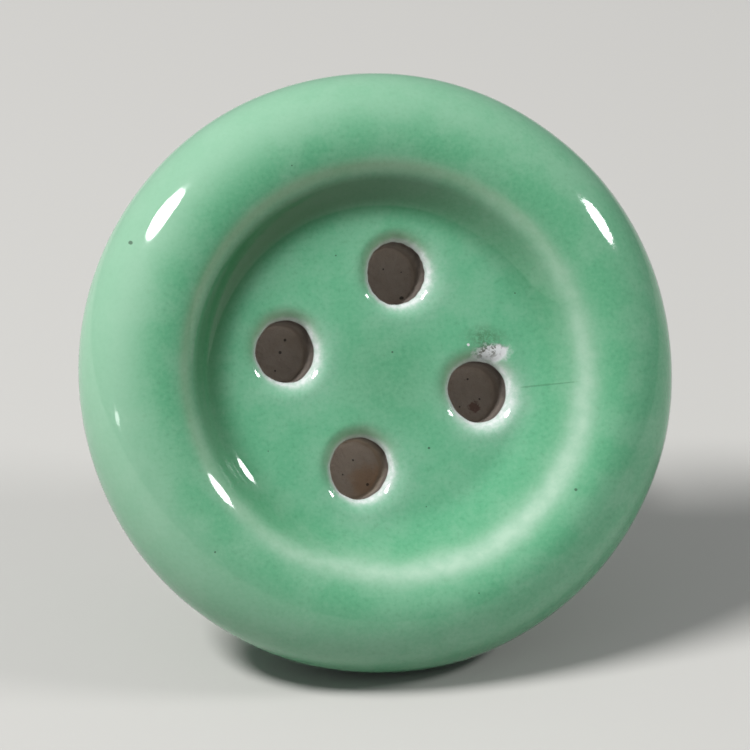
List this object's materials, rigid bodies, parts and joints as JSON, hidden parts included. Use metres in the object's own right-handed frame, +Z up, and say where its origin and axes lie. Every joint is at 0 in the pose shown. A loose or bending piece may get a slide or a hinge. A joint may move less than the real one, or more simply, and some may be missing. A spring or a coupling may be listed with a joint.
{
  "type": "cabinet knob",
  "caption": "Glazed ceramic knob shaped like a four-hole sewing button, with a set-in bolt, base cup, washer and nut.",
  "frame": {"origin": "on the surface that the knob lies on, under the centre of its box", "axes": "+Z up, face towards -Y and leaning back, bolt towards +Y; +X is the right of the face as its viewer sees it"},
  "size_m": [0.04, 0.0424, 0.0363],
  "materials": {
    "clay": "bare fired earthenware",
    "green_glaze": "glossy green glaze",
    "cement": "rough cement",
    "plated_steel": "zinc plated",
    "cup_metal": "nickel plated",
    "rubber": "matte"
  },
  "bodies": {
    "head": {"clay_body": "clay", "glaze_coat": "green_glaze", "setting_cement": "cement", "anchor_bolt": "plated_steel", "cushion_washer": "rubber", "base_cup": "cup_metal"},
    "washer": {"flat_washer": "plated_steel"},
    "nut": {"hex_nut": "plated_steel"}
  },
  "joints": [
    {"name": "washer_slide", "type": "slide", "parent": "head", "child": "washer", "axis": [0, -0.8821, 0.4711], "range_m": [-0.0014, 0.0126]},
    {"name": "nut_turn", "type": "hinge", "parent": "washer", "child": "nut", "pos_m": [0, 0.01701, 0.00404], "axis": [0, -0.8821, 0.4711], "range_deg": [-720, 6480]}
  ],
  "couplings": [
    {"joint": "nut_turn", "follows": "washer_slide", "rad_per_m": 8976}
  ]
}
